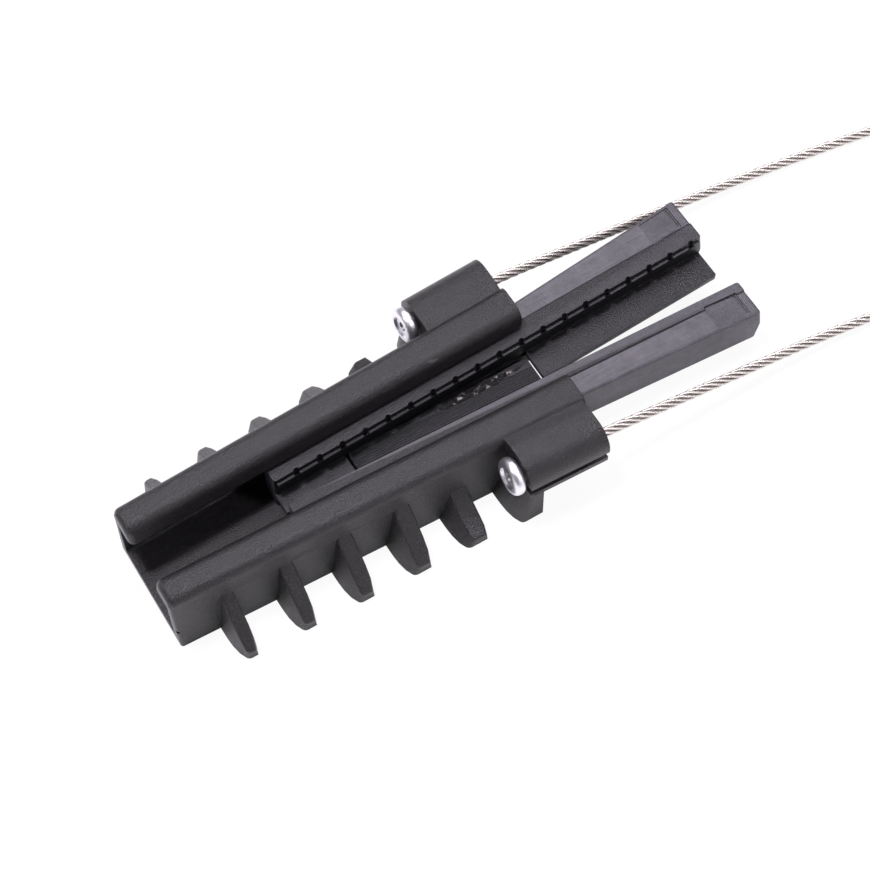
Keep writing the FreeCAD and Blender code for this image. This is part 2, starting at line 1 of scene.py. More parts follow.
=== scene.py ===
"""Anchoring clamp for overhead cable, dressed and lit as a studio product shot.

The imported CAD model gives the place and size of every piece. This script adds the finish of each
moulded, turned and stranded piece, lays the bail's rope, and sets up the camera and the studio.
"""

import logging
import math
from dataclasses import dataclass, field
from enum import Enum

import bpy
import numpy as np
from mathutils import Matrix, Vector


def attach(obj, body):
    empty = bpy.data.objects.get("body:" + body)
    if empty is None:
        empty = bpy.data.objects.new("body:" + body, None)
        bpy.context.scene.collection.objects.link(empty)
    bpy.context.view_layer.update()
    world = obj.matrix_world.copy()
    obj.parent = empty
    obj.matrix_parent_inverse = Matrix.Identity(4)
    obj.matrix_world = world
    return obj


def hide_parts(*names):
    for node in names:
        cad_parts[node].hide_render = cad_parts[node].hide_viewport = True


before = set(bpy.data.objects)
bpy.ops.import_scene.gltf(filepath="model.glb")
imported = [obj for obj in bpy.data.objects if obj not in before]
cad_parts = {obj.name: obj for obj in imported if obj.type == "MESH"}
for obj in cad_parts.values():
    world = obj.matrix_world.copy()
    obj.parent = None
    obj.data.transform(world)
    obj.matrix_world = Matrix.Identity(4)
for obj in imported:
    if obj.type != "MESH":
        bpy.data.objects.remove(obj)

log = logging.getLogger("clamp")

Tree = bpy.types.NodeTree
Socket = bpy.types.NodeSocket
Pair = tuple[float, float]
Triple = tuple[float, float, float]

MM = 0.001
CORNER_TOLERANCE = MM * 0.001
SHARP_DEGREES = 32.0
BEVEL_SAMPLES = 4
POLYAMIDE_IOR = 1.53
UNIT_RANGE = (0.0, 1.0)
WHITE = (1, 1, 1, 1)
WHITE_STRENGTH = 1.0


def linear(code: str) -> tuple[float, float, float, float]:
    """Turn an sRGB hex colour into linear light.

    Args:
        code: six hex digits.

    Returns:
        Red, green and blue as linear values, and an alpha of one.
    """
    channels = [int(code[i : i + 2], 16) / 255 for i in (0, 2, 4)]
    red, green, blue = (
        c / 12.92 if c <= 0.04045 else ((c + 0.055) / 1.055) ** 2.4 for c in channels
    )
    return red, green, blue, 1.0


def per_metre(size_mm: float) -> float:
    """Noise scale that gives features of a size in millimetres."""
    return 1 / (size_mm * MM)


def add_node(tree: Tree, kind: str, inputs: dict | None = None, **settings) -> bpy.types.Node:
    """Add one shader node.

    Args:
        tree: the node tree to add it to.
        kind: the node's type without its leading "ShaderNode".
        inputs: socket name or number to a value, or to the output socket that is linked to it.
        settings: the node's own properties.

    Returns:
        The new node.
    """
    node = tree.nodes.new("ShaderNode" + kind)
    for name, value in settings.items():
        setattr(node, name, value)
    for key, value in (inputs or {}).items():
        if isinstance(value, bpy.types.NodeSocket):
            tree.links.new(value, node.inputs[key])
        else:
            node.inputs[key].default_value = value
    return node


def calculate(tree: Tree, operation: str, first: Socket, second: Socket | float) -> Socket:
    """Work out one step of arithmetic."""
    return add_node(tree, "Math", {0: first, 1: second}, operation=operation).outputs[0]


def remap(
    tree: Tree, value: Socket, source: Pair = UNIT_RANGE, target: Pair = UNIT_RANGE
) -> Socket:
    """Turn one range of a value into another.

    Args:
        tree: the node tree.
        value: the value.
        source: its range; a value outside is taken as the nearer end.
        target: what the two ends of the range become.

    Returns:
        The new value.
    """
    node = add_node(tree, "MapRange", {
        "Value": value,
        "From Min": source[0],
        "From Max": source[1],
        "To Min": target[0],
        "To Max": target[1],
    })
    return node.outputs["Result"]


def blend(tree: Tree, share: Socket, first: Socket | tuple, second: Socket | tuple) -> Socket:
    """Mix two colours by the share of the second."""
    node = add_node(tree, "Mix", {0: share, 6: first, 7: second}, data_type="RGBA")
    return node.outputs[2]


def object_place(tree: Tree) -> Socket:
    """Coordinates that stay with the object."""
    return add_node(tree, "TexCoord").outputs["Object"]


def softened_edges(tree: Tree, radius_mm: float) -> Socket:
    """Normal that rounds sharp edges off by a radius."""
    node = add_node(tree, "Bevel", {"Radius": radius_mm * MM}, samples=BEVEL_SAMPLES)
    return node.outputs["Normal"]


def raised(
    tree: Tree, height: Socket, depth: Socket | float, normal: Socket | None = None
) -> Socket:
    """Normal of a surface with a relief.

    Args:
        tree: the node tree.
        height: the relief, from 0 to 1.
        depth: how deep that is in metres.
        normal: the normal without the relief, or None for the mesh's own.

    Returns:
        The new normal.
    """
    inputs = {"Height": height, "Distance": depth}
    if normal is not None:
        inputs["Normal"] = normal
    return add_node(tree, "Bump", inputs).outputs["Normal"]


def background_share(tree: Tree, to_camera: float, to_gloss: float) -> Socket:
    """How far the background shows plain white instead of its own light.

    Args:
        tree: the node tree.
        to_camera: the share for the camera.
        to_gloss: the share in reflections and through glass.

    Returns:
        The share for the ray that meets the background.
    """
    rays = add_node(tree, "LightPath").outputs
    direct = calculate(tree, "MULTIPLY", rays["Is Camera Ray"], to_camera)
    passed = calculate(tree, "MAXIMUM", rays["Is Glossy Ray"], rays["Is Transmission Ray"])
    passed = calculate(tree, "MULTIPLY", passed, to_gloss)
    return calculate(tree, "MAXIMUM", direct, passed)


def empty_material(name: str) -> bpy.types.Material:
    """A material with an empty node tree."""
    material = bpy.data.materials.new(name)
    material.use_nodes = True
    material.node_tree.nodes.clear()
    return material


def set_surface(tree: Tree, inputs: dict) -> None:
    """Give a material one principled shader with these inputs."""
    shader = add_node(tree, "BsdfPrincipled", inputs)
    add_node(tree, "OutputMaterial", {"Surface": shader.outputs["BSDF"]})


def add_object(name: str, data: bpy.types.ID) -> bpy.types.Object:
    """Put a new object into the scene."""
    thing = bpy.data.objects.new(name, data)
    bpy.context.scene.collection.objects.link(thing)
    return thing


class Body(Enum):
    """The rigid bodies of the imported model."""

    CLAMP = "clamp"
    LEFT_JAW = "left_jaw"
    RIGHT_JAW = "right_jaw"


@dataclass(frozen=True)
class Noise:
    """A noise pattern by the size of its features and the layers of finer ones in it."""

    size_mm: float
    detail: float
    roughness: float = 0.5

    def over(self, tree: Tree, place: Socket) -> Socket:
        """Lay the pattern over a surface, as a socket from 0 to 1."""
        node = add_node(tree, "TexNoise", {
            "Vector": place,
            "Scale": per_metre(self.size_mm),
            "Detail": self.detail,
            "Roughness": self.roughness,
        })
        return node.outputs["Fac"]


@dataclass(frozen=True)
class Patch:
    """A place on the clamp, as an ellipsoid along the model's axes."""

    middle_mm: Triple
    half_mm: Triple

    def reach(self, tree: Tree, place: Socket) -> Socket:
        """Distance from the patch's middle, which is 1 where the patch ends."""
        shift = tuple(-value * MM for value in self.middle_mm)
        share = tuple(1 / (value * MM) for value in self.half_mm)
        steps = (("ADD", shift), ("MULTIPLY", share))
        for operation, by in steps:
            place = add_node(tree, "VectorMath", {0: place, 1: by}, operation=operation).outputs[0]
        return add_node(tree, "VectorMath", {0: place}, operation="LENGTH").outputs["Value"]


@dataclass(frozen=True)
class GlassFilledPolyamide:
    """Black glass-filled polyamide 6, moulded in a spark-eroded tool.

    The eroded tool leaves a fine even grain that breaks every highlight into small bright specks,
    and the glass at the surface lifts the black to a warm dark grey. The grain's crowns are also
    painted paler, and its highest points pale grey, as painted sparkle and painted glints.
    """

    name: str = "black glass-filled polyamide"
    colour: str = "131112"
    # The grain's crowns are painted paler, as painted sparkle
    sparkle_crown_colour: str = "292728"
    sparkle_crown_range: Pair = (0.35, 0.7)
    # The grain's highest points are painted pale grey as painted glints; the pale patch below takes
    # the same grey
    glint_and_patch_colour: str = "8E8C90"
    glint_range: Pair = (0.68, 0.76)
    glint_share: float = 0.5
    # A pale patch painted on the left rail's crown, in streaks along the rail
    pale_patch_place: Patch = Patch(middle_mm=(58.4, 18.1, 43.5), half_mm=(6.5, 2.4, 3.0))
    pale_patch_streaks: Noise = Noise(1.1, detail=3.0)
    pale_patch_stretch: Triple = (0.25, 1.0, 1.0)
    pale_patch_range: Pair = (0.7, 1.3)
    pale_patch_share: float = 0.5
    grain: Noise = Noise(0.76, detail=3.0, roughness=0.6)
    grain_depth_mm: float = 0.5
    undulation: Noise = Noise(9.0, detail=4.0)
    undulation_depth_mm: float = 0.1
    gloss_range: Pair = (0.3, 0.7)
    roughness: Pair = (0.28, 0.42)
    specular_level: float = 0.4
    edge_radius_mm: float = 0.5

    def pale_patch(self, tree: Tree, place: Socket) -> Socket:
        """Mask of the pale streaked patch."""
        stretched = add_node(tree, "Mapping", {"Vector": place, "Scale": self.pale_patch_stretch})
        streaks = self.pale_patch_streaks.over(tree, stretched.outputs["Vector"])
        ragged = calculate(tree, "ADD", self.pale_patch_place.reach(tree, place), streaks)
        return remap(tree, ragged, self.pale_patch_range, (self.pale_patch_share, 0.0))

    def material(self) -> bpy.types.Material:
        """Build the shader: grain over slow undulation, on softened edges."""
        material = empty_material(self.name)
        tree = material.node_tree
        place = object_place(tree)
        grain = self.grain.over(tree, place)
        # Painted sparkle: the grain's crowns are painted paler
        crowns = remap(tree, grain, self.sparkle_crown_range)
        colour = blend(tree, crowns, linear(self.colour), linear(self.sparkle_crown_colour))
        # Painted glints on the grain's highest points
        glass = remap(tree, grain, self.glint_range, (0.0, self.glint_share))
        glints_and_patch = calculate(tree, "MAXIMUM", glass, self.pale_patch(tree, place))
        edges = softened_edges(tree, self.edge_radius_mm)
        undulation = self.undulation.over(tree, place)
        slow = raised(tree, undulation, self.undulation_depth_mm * MM, edges)
        set_surface(tree, {
            "Base Color": blend(tree, glints_and_patch, colour, linear(self.glint_and_patch_colour)),
            "Roughness": remap(tree, grain, self.gloss_range, self.roughness),
            "Normal": raised(tree, grain, self.grain_depth_mm * MM, slow),
            "IOR": POLYAMIDE_IOR,
            "Specular IOR Level": self.specular_level,
        })
        return material


@dataclass(frozen=True)
class ScuffedPolyamide:
    """Black polyamide whose outer faces come from a polished part of the tool.

    The gripping side, the ridge and the plates are as dark and grainy as the tray, apart from the
    ridge's bevel, which takes most of the polished grey as a painted highlight. Outside the
    crease the surface is smooth and greyer, clouded by the melt's flow, with fine lengthwise
    scratches from sliding. The attribute "polished" is 1 there and 0 on the grainy faces, with
    the band beside the ridge between them.
    """

    name: str = "part-polished jaw polyamide"
    grained_colour: str = "19181A"
    polished_colour: str = "312F33"
    cloud_colour: str = "4F4D53"
    clouds: Noise = Noise(15.0, detail=7.0, roughness=0.85)
    cloud_range: Pair = (0.35, 0.65)
    scratch_colour: str = "78767C"
    scratch_length_mm: float = 34.0
    scratch_width_mm: float = 0.4
    scratch_detail: float = 3.0
    scratch_range: Pair = (0.55, 0.75)
    scratch_share: float = 0.4
    grain: Noise = Noise(0.7, detail=3.0, roughness=0.6)
    grained_depth_mm: float = 0.46
    polished_depth_mm: float = 0.1
    grained_roughness: float = 0.34
    polished_roughness: float = 0.44
    specular_level: float = 0.4
    edge_radius_mm: float = 0.5
    # Where the melt's front left a torn, shiny patch along the tab's far edge
    torn: Patch = Patch(middle_mm=(76.0, 6.6, 17.0), half_mm=(27.0, 2.6, 2.5))
    torn_range: Pair = (1.25, 1.4)
    shreds: Noise = Noise(3.2, detail=4.0, roughness=0.7)
    shred_depth_mm: float = 3.4
    glint_crest_range: Pair = (0.57, 0.63)
    # The crests of the torn patch's shreds are painted light, as painted glints
    torn_roughness: float = 0.14
    torn_glint_colour: str = "B9B5AB"

    def polished_tint(self, tree: Tree, place: Socket) -> Socket:
        """Clouded grey with faint lengthwise scratches."""
        cloudy = remap(tree, self.clouds.over(tree, place), self.cloud_range)
        ground = blend(tree, cloudy, linear(self.polished_colour), linear(self.cloud_colour))
        along, across = per_metre(self.scratch_length_mm), per_metre(self.scratch_width_mm)
        stretched = add_node(tree, "Mapping", {"Vector": place, "Scale": (along, across, across)})
        lines = add_node(tree, "TexNoise", {
            "Vector": stretched.outputs["Vector"],
            "Scale": 1.0,
            "Detail": self.scratch_detail,
        })
        scratches = remap(tree, lines.outputs["Fac"], self.scratch_range, (0.0, self.scratch_share))
        return blend(tree, scratches, ground, linear(self.scratch_colour))

    def torn_patch(self, tree: Tree, place: Socket) -> tuple[Socket, Socket]:
        """Mask of the torn patch, and the height of its shreds."""
        shreds = self.shreds.over(tree, place)
        ragged = calculate(tree, "ADD", self.torn.reach(tree, place), shreds)
        return remap(tree, ragged, self.torn_range, (1.0, 0.0)), shreds

    def material(self) -> bpy.types.Material:
        """Build the shader: a grained and a polished zone on softened edges, and the torn patch
        with painted glints on its shreds' crests.
        """
        material = empty_material(self.name)
        tree = material.node_tree
        place = object_place(tree)
        zone = add_node(tree, "Attribute", attribute_name="polished").outputs["Fac"]
        torn, shreds = self.torn_patch(tree, place)
        colour = blend(tree, zone, linear(self.grained_colour), self.polished_tint(tree, place))
        # Painted glints on the crests of the torn patch's shreds
        pale = calculate(tree, "MULTIPLY", torn, remap(tree, shreds, self.glint_crest_range))
        roughness = remap(tree, zone, target=(self.grained_roughness, self.polished_roughness))
        roughness = add_node(
            tree, "Mix", {0: torn, 2: roughness, 3: self.torn_roughness}, data_type="FLOAT"
        )
        edges = softened_edges(tree, self.edge_radius_mm)
        shred_depth = calculate(tree, "MULTIPLY", torn, self.shred_depth_mm * MM)
        coarse = raised(tree, shreds, shred_depth, edges)
        depths = (self.grained_depth_mm * MM, self.polished_depth_mm * MM)
        grain_depth = remap(tree, zone, target=depths)
        set_surface(tree, {
            "Base Color": blend(tree, pale, colour, linear(self.torn_glint_colour)),
            "Roughness": roughness.outputs[0],
            "Normal": raised(tree, self.grain.over(tree, place), grain_depth, coarse),
            "IOR": POLYAMIDE_IOR,
            "Specular IOR Level": self.specular_level,
        })
        return material


@dataclass(frozen=True)
class StainlessWire:
    """Bright drawn stainless wire, laid up into strands.

    Drawing leaves each wire shiny along its length, and the gaps between strands are painted a
    brownish shade. The attribute "gap" says how deep a point lies in them.
    """

    name: str = "bright stainless wire"
    colour: str = "D8D3CB"
    # Painted shade for the gaps between strands
    gap_shade_colour: str = "6C6056"
    roughness: float = 0.42

    def material(self) -> bpy.types.Material:
        """Build the shader: bright on the crowns, a painted brownish shade down in the gaps between
        strands.
        """
        material = empty_material(self.name)
        tree = material.node_tree
        gap = add_node(tree, "Attribute", attribute_name="gap").outputs["Fac"]
        set_surface(tree, {
            "Base Color": blend(tree, gap, linear(self.colour), linear(self.gap_shade_colour)),
            "Metallic": 1.0,
            "Roughness": self.roughness,
        })
        return material


@dataclass(frozen=True)
class TurnedAluminium:
    """Turned aluminium, bright, with a faint unevenness from pressing."""

    name: str = "turned aluminium"
    colour: str = "E5E5E8"
    roughness: float = 0.4
    marks: Noise = Noise(1.6, detail=2.0)
    mark_depth_mm: float = 0.12

    def material(self) -> bpy.types.Material:
        """Build the shader: a bright metal with a faint uneven surface."""
        material = empty_material(self.name)
        tree = material.node_tree
        marks = self.marks.over(tree, object_place(tree))
        set_surface(tree, {
            "Base Color": linear(self.colour),
            "Metallic": 1.0,
            "Roughness": self.roughness,
            "Normal": raised(tree, marks, self.mark_depth_mm * MM),
        })
        return material


@dataclass(frozen=True)
class StudioPaper:
    """Matt white background paper.

    It shows white to the camera, in reflections and through glass. The reflections keep more of
    the shade that the clamp throws on the paper close to it.
    """

    name: str = "white background paper"
    colour: str = "F7F7F7"
    glow_share: float = 0.93
    reflected_share: float = 0.3

    def material(self) -> bpy.types.Material:
        """Build the shader: plain paper for light, mostly plain white for the camera and gloss."""
        material = empty_material(self.name)
        tree = material.node_tree
        share = background_share(tree, self.glow_share, self.reflected_share)
        paper = add_node(tree, "BsdfDiffuse", {"Color": linear(self.colour)})
        glow = add_node(tree, "Emission", {"Color": WHITE, "Strength": WHITE_STRENGTH})
        mixed = add_node(tree, "MixShader", {0: share, 1: paper.outputs[0], 2: glow.outputs[0]})
        add_node(tree, "OutputMaterial", {"Surface": mixed.outputs[0]})
        return material


def smooth_mesh(
    name: str, points: np.ndarray, faces: list[list[int]], sharp_degrees: float = SHARP_DEGREES
) -> bpy.types.Mesh:
    """Make a mesh that shades smoothly except over its sharp edges.

    Args:
        name: the mesh's name.
        points: one row of x, y and z in metres for each corner.
        faces: one row of corner numbers for each face.
        sharp_degrees: edges that turn more than this stay sharp.

    Returns:
        The new mesh.
    """
    mesh = bpy.data.meshes.new(name)
    mesh.from_pydata(points.tolist(), [], faces)
    mesh.polygons.foreach_set("use_smooth", np.ones(len(faces), dtype=bool))
    mesh.set_sharp_from_angle(angle=math.radians(sharp_degrees))
    mesh.update()
    return mesh


def merged_copy(node: bpy.types.Object, name: str) -> bpy.types.Mesh:
    """Copy a CAD node's loose triangles into one joined surface.

    Corners that agree to a thousandth of a millimetre become one corner, and triangles that
    lose their area by that are dropped.

    Args:
        node: the CAD node.
        name: the new mesh's name.

    Returns:
        The joined mesh.
    """
    source = node.data
    points = np.empty(len(source.vertices) * 3)
    source.vertices.foreach_get("co", points)
    points = points.reshape(-1, 3)
    source.calc_loop_triangles()
    corners = np.empty(len(source.loop_triangles) * 3, dtype=int)
    source.loop_triangles.foreach_get("vertices", corners)
    keys = np.round(points / CORNER_TOLERANCE).astype(np.int64)
    _, kept, place = np.unique(keys, axis=0, return_index=True, return_inverse=True)
    faces = place.reshape(-1)[corners].reshape(-1, 3)
    first, second, third = faces.T
    whole = (first != second) & (second != third) & (third != first)
    return smooth_mesh(name, points[kept], faces[whole].tolist())


def place_piece(
    name: str, mesh: bpy.types.Mesh, body: Body, finish: bpy.types.Material
) -> bpy.types.Object:
    """Show a mesh as a piece that rides on a body.

    Args:
        name: the piece's name.
        mesh: its mesh, in the model's frame.
        body: the body that carries it.
        finish: its material.

    Returns:
        The new object.
    """
    piece = add_object(name, mesh)
    mesh.materials.clear()
    mesh.materials.append(finish)
    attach(piece, body.value)
    log.info("%s: %d faces on %s", name, len(mesh.polygons), body.value)
    return piece


@dataclass
class Tray:
    """The moulded tray with its rails, fins and ears."""

    finish: GlassFilledPolyamide = field(default_factory=GlassFilledPolyamide)

    def build(self) -> None:
        """Show the tray's joined surface in black polyamide."""
        mesh = merged_copy(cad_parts["clamp_body"], "tray")
        piece = place_piece("tray", mesh, Body.CLAMP, self.finish.material())
        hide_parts("clamp_body")


@dataclass(frozen=True)
class Crease:
    """Line on a jaw's top where the polished outer surface begins.

    Its distance from the middle plane is start + spread * (x - narrow_end). The band between
    the crease and the ridge is partly polished outside the tray; towards the tray its polish fades
    out, which paints the tray's shade on the band. A face's direction is told from its normal:
    level and slanted faces by z, end faces by x.
    """

    side: float
    start: float
    band_polish: float
    # The band's polish fades out towards the tray between these two places, as a painted shade
    shade_fade_end: float
    shade_fade_start: float = 98 * MM
    spread: float = 0.037
    narrow_end: float = -35.5 * MM
    band_height: float = 30.2 * MM
    bevel_height: float = 25.6 * MM
    # The ridge's bevel takes most of the polished grey, as a painted highlight
    bevel_painted_highlight: float = 0.85
    pocket_floor: Pair = (29.6 * MM, 29.9 * MM)
    pocket_polish: float = 0.72
    slanted_from: float = 0.5
    level_from: float = 0.9
    end_facing: float = 0.8

    def polish(self, mesh: bpy.types.Mesh) -> np.ndarray:
        """How polished each face is, from 0 to 1."""
        count = len(mesh.polygons)
        centres, normals = np.empty(count * 3), np.empty(count * 3)
        mesh.polygons.foreach_get("center", centres)
        mesh.polygons.foreach_get("normal", normals)
        along, across, height = centres.reshape(-1, 3).T
        lengthwise, _, upward = normals.reshape(-1, 3).T
        crease = self.start + self.spread * (along - self.narrow_end)
        outside = (across * self.side > crease) | (np.abs(lengthwise) > self.end_facing)
        # Towards the tray the band's polish fades out, a painted shade of the tray on the band
        tray_shade_fade = np.clip((along - self.shade_fade_start) / (self.shade_fade_end - self.shade_fade_start), 0, 1)
        band = (height > self.band_height) & ~outside
        bevel = (upward > self.slanted_from) & (upward < self.level_from) & ~outside
        bevel &= (height > self.bevel_height) & (height < self.band_height)
        low, high = self.pocket_floor
        pocket = outside & (height > low) & (height < high) & (upward > self.level_from)
        polish = np.where(outside, 1.0, 0.0)
        polish = np.where(pocket, self.pocket_polish, polish)
        polish = np.where(band, self.band_polish * tray_shade_fade, polish)
        # Painted highlight on the ridge's bevel
        polish = np.where(bevel, self.bevel_painted_highlight, polish)
        return polish.astype(np.float32)


@dataclass
class Jaws:
    """The two sliding jaws."""

    finish: ScuffedPolyamide = field(default_factory=ScuffedPolyamide)
    left_crease: Crease = Crease(side=1.0, start=16.6 * MM, band_polish=0.3, shade_fade_end=190 * MM)
    right_crease: Crease = Crease(side=-1.0, start=11.3 * MM, band_polish=0.85, shade_fade_end=125 * MM)

    def build(self) -> None:
        """Show both jaws' joined surfaces, with their polished zones marked."""
        material = self.finish.material()
        for node, body, crease in (
            ("wedge_left", Body.LEFT_JAW, self.left_crease),
            ("wedge_right", Body.RIGHT_JAW, self.right_crease),
        ):
            mesh = merged_copy(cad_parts[node], node + "_surface")
            polished = mesh.attributes.new("polished", "FLOAT", "FACE")
            polished.data.foreach_set("value", crease.polish(mesh))
            piece = place_piece(node + "_surface", mesh, body, material)
            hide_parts(node)


@dataclass
class Bail:
    """The rope bail: its route, its strands and the stops pressed on its ends."""

    wire: StainlessWire = field(default_factory=StainlessWire)
    stop: TurnedAluminium = field(default_factory=TurnedAluminium)
    diameter: float = 5.0 * MM
    length: float = 0.722
    # The rope comes into sight this far along, past the stop's neck and the ear's end wall
    exit_run: float = 16 * MM
    strand_count: int = 6
    lay: float = 32.4 * MM
    wires_in_strand: int = 6
    strand_lay: float = 12.0 * MM
    # Least radius of a strand, and what a wire's crown adds, as shares of the plain strand
    valley_share: float = 0.86
    crown_share: float = 0.16
    # The painted shade in the gaps darkens from this facing inwards, over this span, and between
    # the wires
    gap_facing: float = 0.5
    gap_span: float = 0.9
    valley_gap: float = 0.35
    ring_step: float = 1.25 * MM
    points_round: int = 24
    sharp_degrees: float = 60.0
    curve_order: int = 3
    curve_steps: int = 32
    # Route of the rope's middle line in millimetres: x towards the bail, y to the left, z up
    route: tuple[Triple, ...] = (
        (58.9, 47.87, 32.15), (102.5, 49.6, 29.9), (156.5, 50.2, 19.5), (214.5, 50.3, 9.2),
        (268.5, 48.0, 3.3), (320.5, 41.5, 2.6), (366.5, 34.5, 2.6), (389.5, -2.0, 2.6),
        (381.5, -44.0, 2.6), (344.5, -65.0, 2.6), (296.5, -57.0, 2.7), (242.5, -51.4, 5.6),
        (196.5, -50.3, 12.3), (148.5, -49.9, 21.0), (102.5, -49.6, 29.9), (58.9, -47.87, 32.15),
    )

    def centreline(self) -> np.ndarray:
        """Points close together along the smooth route, in metres."""
        curve = bpy.data.curves.new("bail route", "CURVE")
        curve.dimensions = "3D"
        curve.resolution_u = self.curve_steps
        spline = curve.splines.new("NURBS")
        spline.points.add(len(self.route) - 1)
        for point, place in zip(spline.points, self.route):
            point.co = (*(value * MM for value in place), 1.0)
        spline.order_u = self.curve_order
        spline.use_endpoint_u = True
        carrier = add_object("bail route", curve)
        bpy.context.view_layer.update()
        mesh = bpy.data.meshes.new_from_object(carrier)
        points = np.empty(len(mesh.vertices) * 3)
        mesh.vertices.foreach_get("co", points)
        bpy.data.objects.remove(carrier)
        bpy.data.meshes.remove(mesh)
        return points.reshape(-1, 3)

    def even_rings(self, line: np.ndarray) -> tuple[np.ndarray, np.ndarray]:
        """Spread ring centres evenly along a line.

        Args:
            line: points along the line.

        Returns:
            The ring centres, and each one's distance along the line.
        """
        run = np.concatenate([[0], np.cumsum(np.linalg.norm(np.diff(line, axis=0), axis=1))])
        count = int(run[-1] / self.ring_step) + 1
        along = np.linspace(0, run[-1], count)
        rings = np.stack([np.interp(along, run, line[:, axis]) for axis in range(3)], axis=1)
        return rings, along

    @staticmethod
    def cross_axes(rings: np.ndarray) -> tuple[np.ndarray, np.ndarray, np.ndarray]:
        """Tangent and two cross directions at each ring, without twist.

        The first cross direction is carried from ring to ring: the part of the last one that lies
        across the new tangent, made one long.

        Args:
            rings: the ring centres.

        Returns:
            Tangents, first and second cross directions.
        """
        tangents = np.gradient(rings, axis=0)
        tangents /= np.linalg.norm(tangents, axis=1, keepdims=True)
        first = np.empty_like(tangents)
        carried = np.array([0.0, 0.0, 1.0])
        for index, tangent in enumerate(tangents):
            carried = carried - tangent * (carried @ tangent)
            carried /= np.linalg.norm(carried)
            first[index] = carried
        return tangents, first, np.cross(tangents, first)

    def strand(
        self, number: int, rings: np.ndarray, along: np.ndarray
    ) -> tuple[np.ndarray, np.ndarray]:
        """Surface of one strand on a grid of rings by points round it.

        The strand's middle circles the rope's middle line once in each lay, on a third of the
        rope's diameter. Its own outline is a circle with one lobe for each outer wire, and the
        lobes turn the other way.

        Args:
            number: which strand; the one after the last outer strand is the straight core.
            rings: the rope's ring centres.
            along: each ring's distance along the rope.

        Returns:
            The grid's points, ring by ring, and how deep each lies in the gaps, from 0 to 1.
        """
        tangents, first, second = self.cross_axes(rings)
        turn = 2 * np.pi * (along / self.lay + number / self.strand_count)
        outward = first * np.cos(turn)[:, None] + second * np.sin(turn)[:, None]
        sideways = np.cross(tangents, outward)
        strand_radius = self.diameter / 6
        off_axis = 0 if number == self.strand_count else strand_radius * 2
        middle = rings + outward * off_axis
        around = np.linspace(0, 2 * np.pi, self.points_round, endpoint=False)
        spin = -2 * np.pi * along / self.strand_lay
        lobes = np.abs(np.cos((around[None, :] - spin[:, None]) * self.wires_in_strand / 2))
        radius = strand_radius * (self.valley_share + self.crown_share * lobes)
        points = (
            middle[:, None, :]
            + outward[:, None, :] * (radius * np.cos(around))[:, :, None]
            + sideways[:, None, :] * (radius * np.sin(around))[:, :, None]
        )
        inward = (self.gap_facing - np.cos(around)[None, :]) / self.gap_span
        gap = np.clip(inward + (1 - lobes) * self.valley_gap, 0, 1)
        return points, gap

    def rope_faces(self, ring_count: int) -> list[list[int]]:
        """Corner numbers of one strand's faces, with its two ends."""
        around = self.points_round
        ring, point = np.meshgrid(np.arange(ring_count - 1), np.arange(around), indexing="ij")
        here = ring * around + point
        beside = ring * around + (point + 1) % around
        quads = np.stack([here, beside, beside + around, here + around], axis=-1)
        first_end = list(reversed(range(around)))
        last_end = list(range((ring_count - 1) * around, ring_count * around))
        return [*quads.reshape(-1, 4).tolist(), first_end, last_end]

    def build_rope(self) -> None:
        rings, along = self.even_rings(self.centreline())
        strand_faces = self.rope_faces(len(rings))
        points, faces, gaps = [], [], []
        for number in range(self.strand_count + 1):
            grid, gap = self.strand(number, rings, along)
            offset = number * len(rings) * self.points_round
            faces.extend([corner + offset for corner in face] for face in strand_faces)
            points.append(grid.reshape(-1, 3))
            gaps.append(gap.reshape(-1))
        mesh = smooth_mesh("bail", np.concatenate(points), faces, self.sharp_degrees)
        attribute = mesh.attributes.new("gap", "FLOAT", "POINT")
        attribute.data.foreach_set("value", np.concatenate(gaps).astype(np.float32))
        piece = place_piece("bail", mesh, Body.CLAMP, self.wire.material())
        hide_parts("bail_rope")

    def build_stops(self) -> None:
        """Dress the stops in turned aluminium."""
        material = self.stop.material()
        for name in ("stop_left", "stop_right"):
            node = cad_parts[name]
            node.data.materials.clear()
            node.data.materials.append(material)

    def build(self) -> None:
        """Make the rope and dress its stops."""
        self.build_rope()
        self.build_stops()


@dataclass(frozen=True)
class Softbox:
    """A rectangular softbox, with its middle, the point that it faces and its size in metres."""

    name: str
    place: Triple
    aim: Triple
    size: Pair
    watts: float

    def hang(self, tint: Triple) -> None:
        """Put the lamp in its place."""
        lamp = bpy.data.lights.new(self.name, "AREA")
        lamp.shape = "RECTANGLE"
        lamp.size, lamp.size_y = self.size
        lamp.energy = self.watts
        lamp.color = tint
        away = (Vector(self.place) - Vector(self.aim)).normalized()
        turned = away.to_track_quat("Z", "Y").to_matrix().to_4x4()
        add_object(self.name, lamp).matrix_world = Matrix.Translation(self.place) @ turned


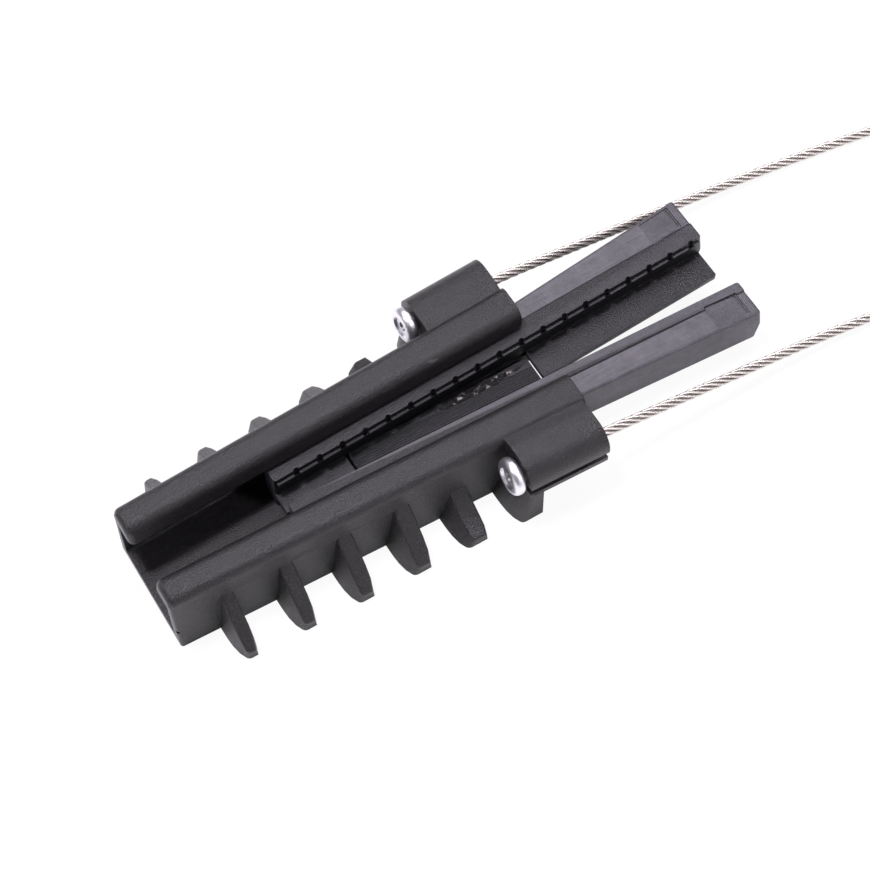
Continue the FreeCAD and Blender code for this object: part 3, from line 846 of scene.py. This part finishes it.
@dataclass
class Studio:
    """Camera, lamps, world and background paper."""

    eye: Triple = (-0.1938, -0.3997, 0.8740)
    azimuth: float = -31.105
    elevation: float = 61.664
    roll: float = -0.257
    lens_mm: float = 84.54
    sensor_mm: float = 36.0
    clip: Pair = (0.01, 50.0)
    tint: Triple = (1.0, 0.955, 1.05)
    # A broad box behind, a small one above, two in front and one at the narrow end
    lamps: tuple[Softbox, ...] = (
        Softbox("back box", (0.52, 0.64, 1.35), (0.05, 0, 0), (0.9, 0.7), 14.5),
        Softbox("top box", (-0.24, 0.2, 1.35), (0, 0, 0.02), (0.22, 0.22), 16.5),
        Softbox("front box", (0.62, -0.7, 1.15), (0.03, 0, 0.02), (0.3, 0.3), 5.2),
        Softbox("low front box", (0.6, -1.0, 0.5), (0.03, 0, 0.02), (0.5, 0.2), 2.6),
        Softbox("end box", (-1.1, 0.15, 0.85), (0, 0, 0.02), (0.35, 0.3), 1.4),
    )
    world_strength: float = 0.12
    world_reflected: float = 0.03
    paper: StudioPaper = field(default_factory=StudioPaper)
    paper_half: float = 6.0

    def make_camera(self) -> None:
        """Stand the camera where the photograph was taken from."""
        azimuth, elevation, roll = map(math.radians, (self.azimuth, self.elevation, self.roll))
        level = math.cos(elevation)
        back = Vector((
            math.sin(azimuth) * level, -math.cos(azimuth) * level, math.sin(elevation)
        ))
        right = Vector((math.cos(azimuth), math.sin(azimuth), 0))
        up = back.cross(right)
        tilted_right = right * math.cos(roll) + up * math.sin(roll)
        tilted_up = up * math.cos(roll) - right * math.sin(roll)
        camera = bpy.data.cameras.new("camera")
        camera.lens = self.lens_mm
        camera.sensor_width = self.sensor_mm
        camera.clip_start, camera.clip_end = self.clip
        holder = add_object("camera", camera)
        turned = Matrix((tilted_right, tilted_up, back)).transposed().to_4x4()
        holder.matrix_world = Matrix.Translation(self.eye) @ turned
        bpy.context.scene.camera = holder

    def make_world(self) -> None:
        """An even dim white all round, which shows plain white to the camera."""
        world = bpy.data.worlds.new("studio")
        bpy.context.scene.world = world
        world.use_nodes = True
        tree = world.node_tree
        tree.nodes.clear()
        share = background_share(tree, 1.0, self.world_reflected)
        colour = (*self.tint, 1)
        lit = add_node(tree, "Background", {"Color": colour, "Strength": self.world_strength})
        shown = add_node(tree, "Background", {"Color": WHITE, "Strength": WHITE_STRENGTH})
        mixed = add_node(tree, "MixShader", {0: share, 1: lit.outputs[0], 2: shown.outputs[0]})
        add_node(tree, "OutputWorld", {"Surface": mixed.outputs[0]})

    def make_paper(self) -> None:
        """Lay the background paper under the clamp."""
        half = self.paper_half
        corners = np.array([(-half, -half, 0), (half, -half, 0), (half, half, 0), (-half, half, 0)])
        mesh = smooth_mesh("background paper", corners, [[0, 1, 2, 3]])
        mesh.materials.append(self.paper.material())
        paper = add_object("background_paper", mesh)

    def build(self) -> None:
        """Set up the camera, the lamps, the world and the paper."""
        bpy.context.scene.view_settings.view_transform = "Standard"
        self.make_camera()
        for lamp in self.lamps:
            lamp.hang(self.tint)
        self.make_world()
        self.make_paper()


def main() -> None:
    """Build the studio and the clamp."""
    logging.basicConfig(level=logging.INFO, format="%(message)s")
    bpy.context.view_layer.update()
    for assembly in (Studio(), Bail(), Tray(), Jaws()):
        assembly.build()
        log.info("%s built", type(assembly).__name__)


if __name__ == "__main__":
    main()
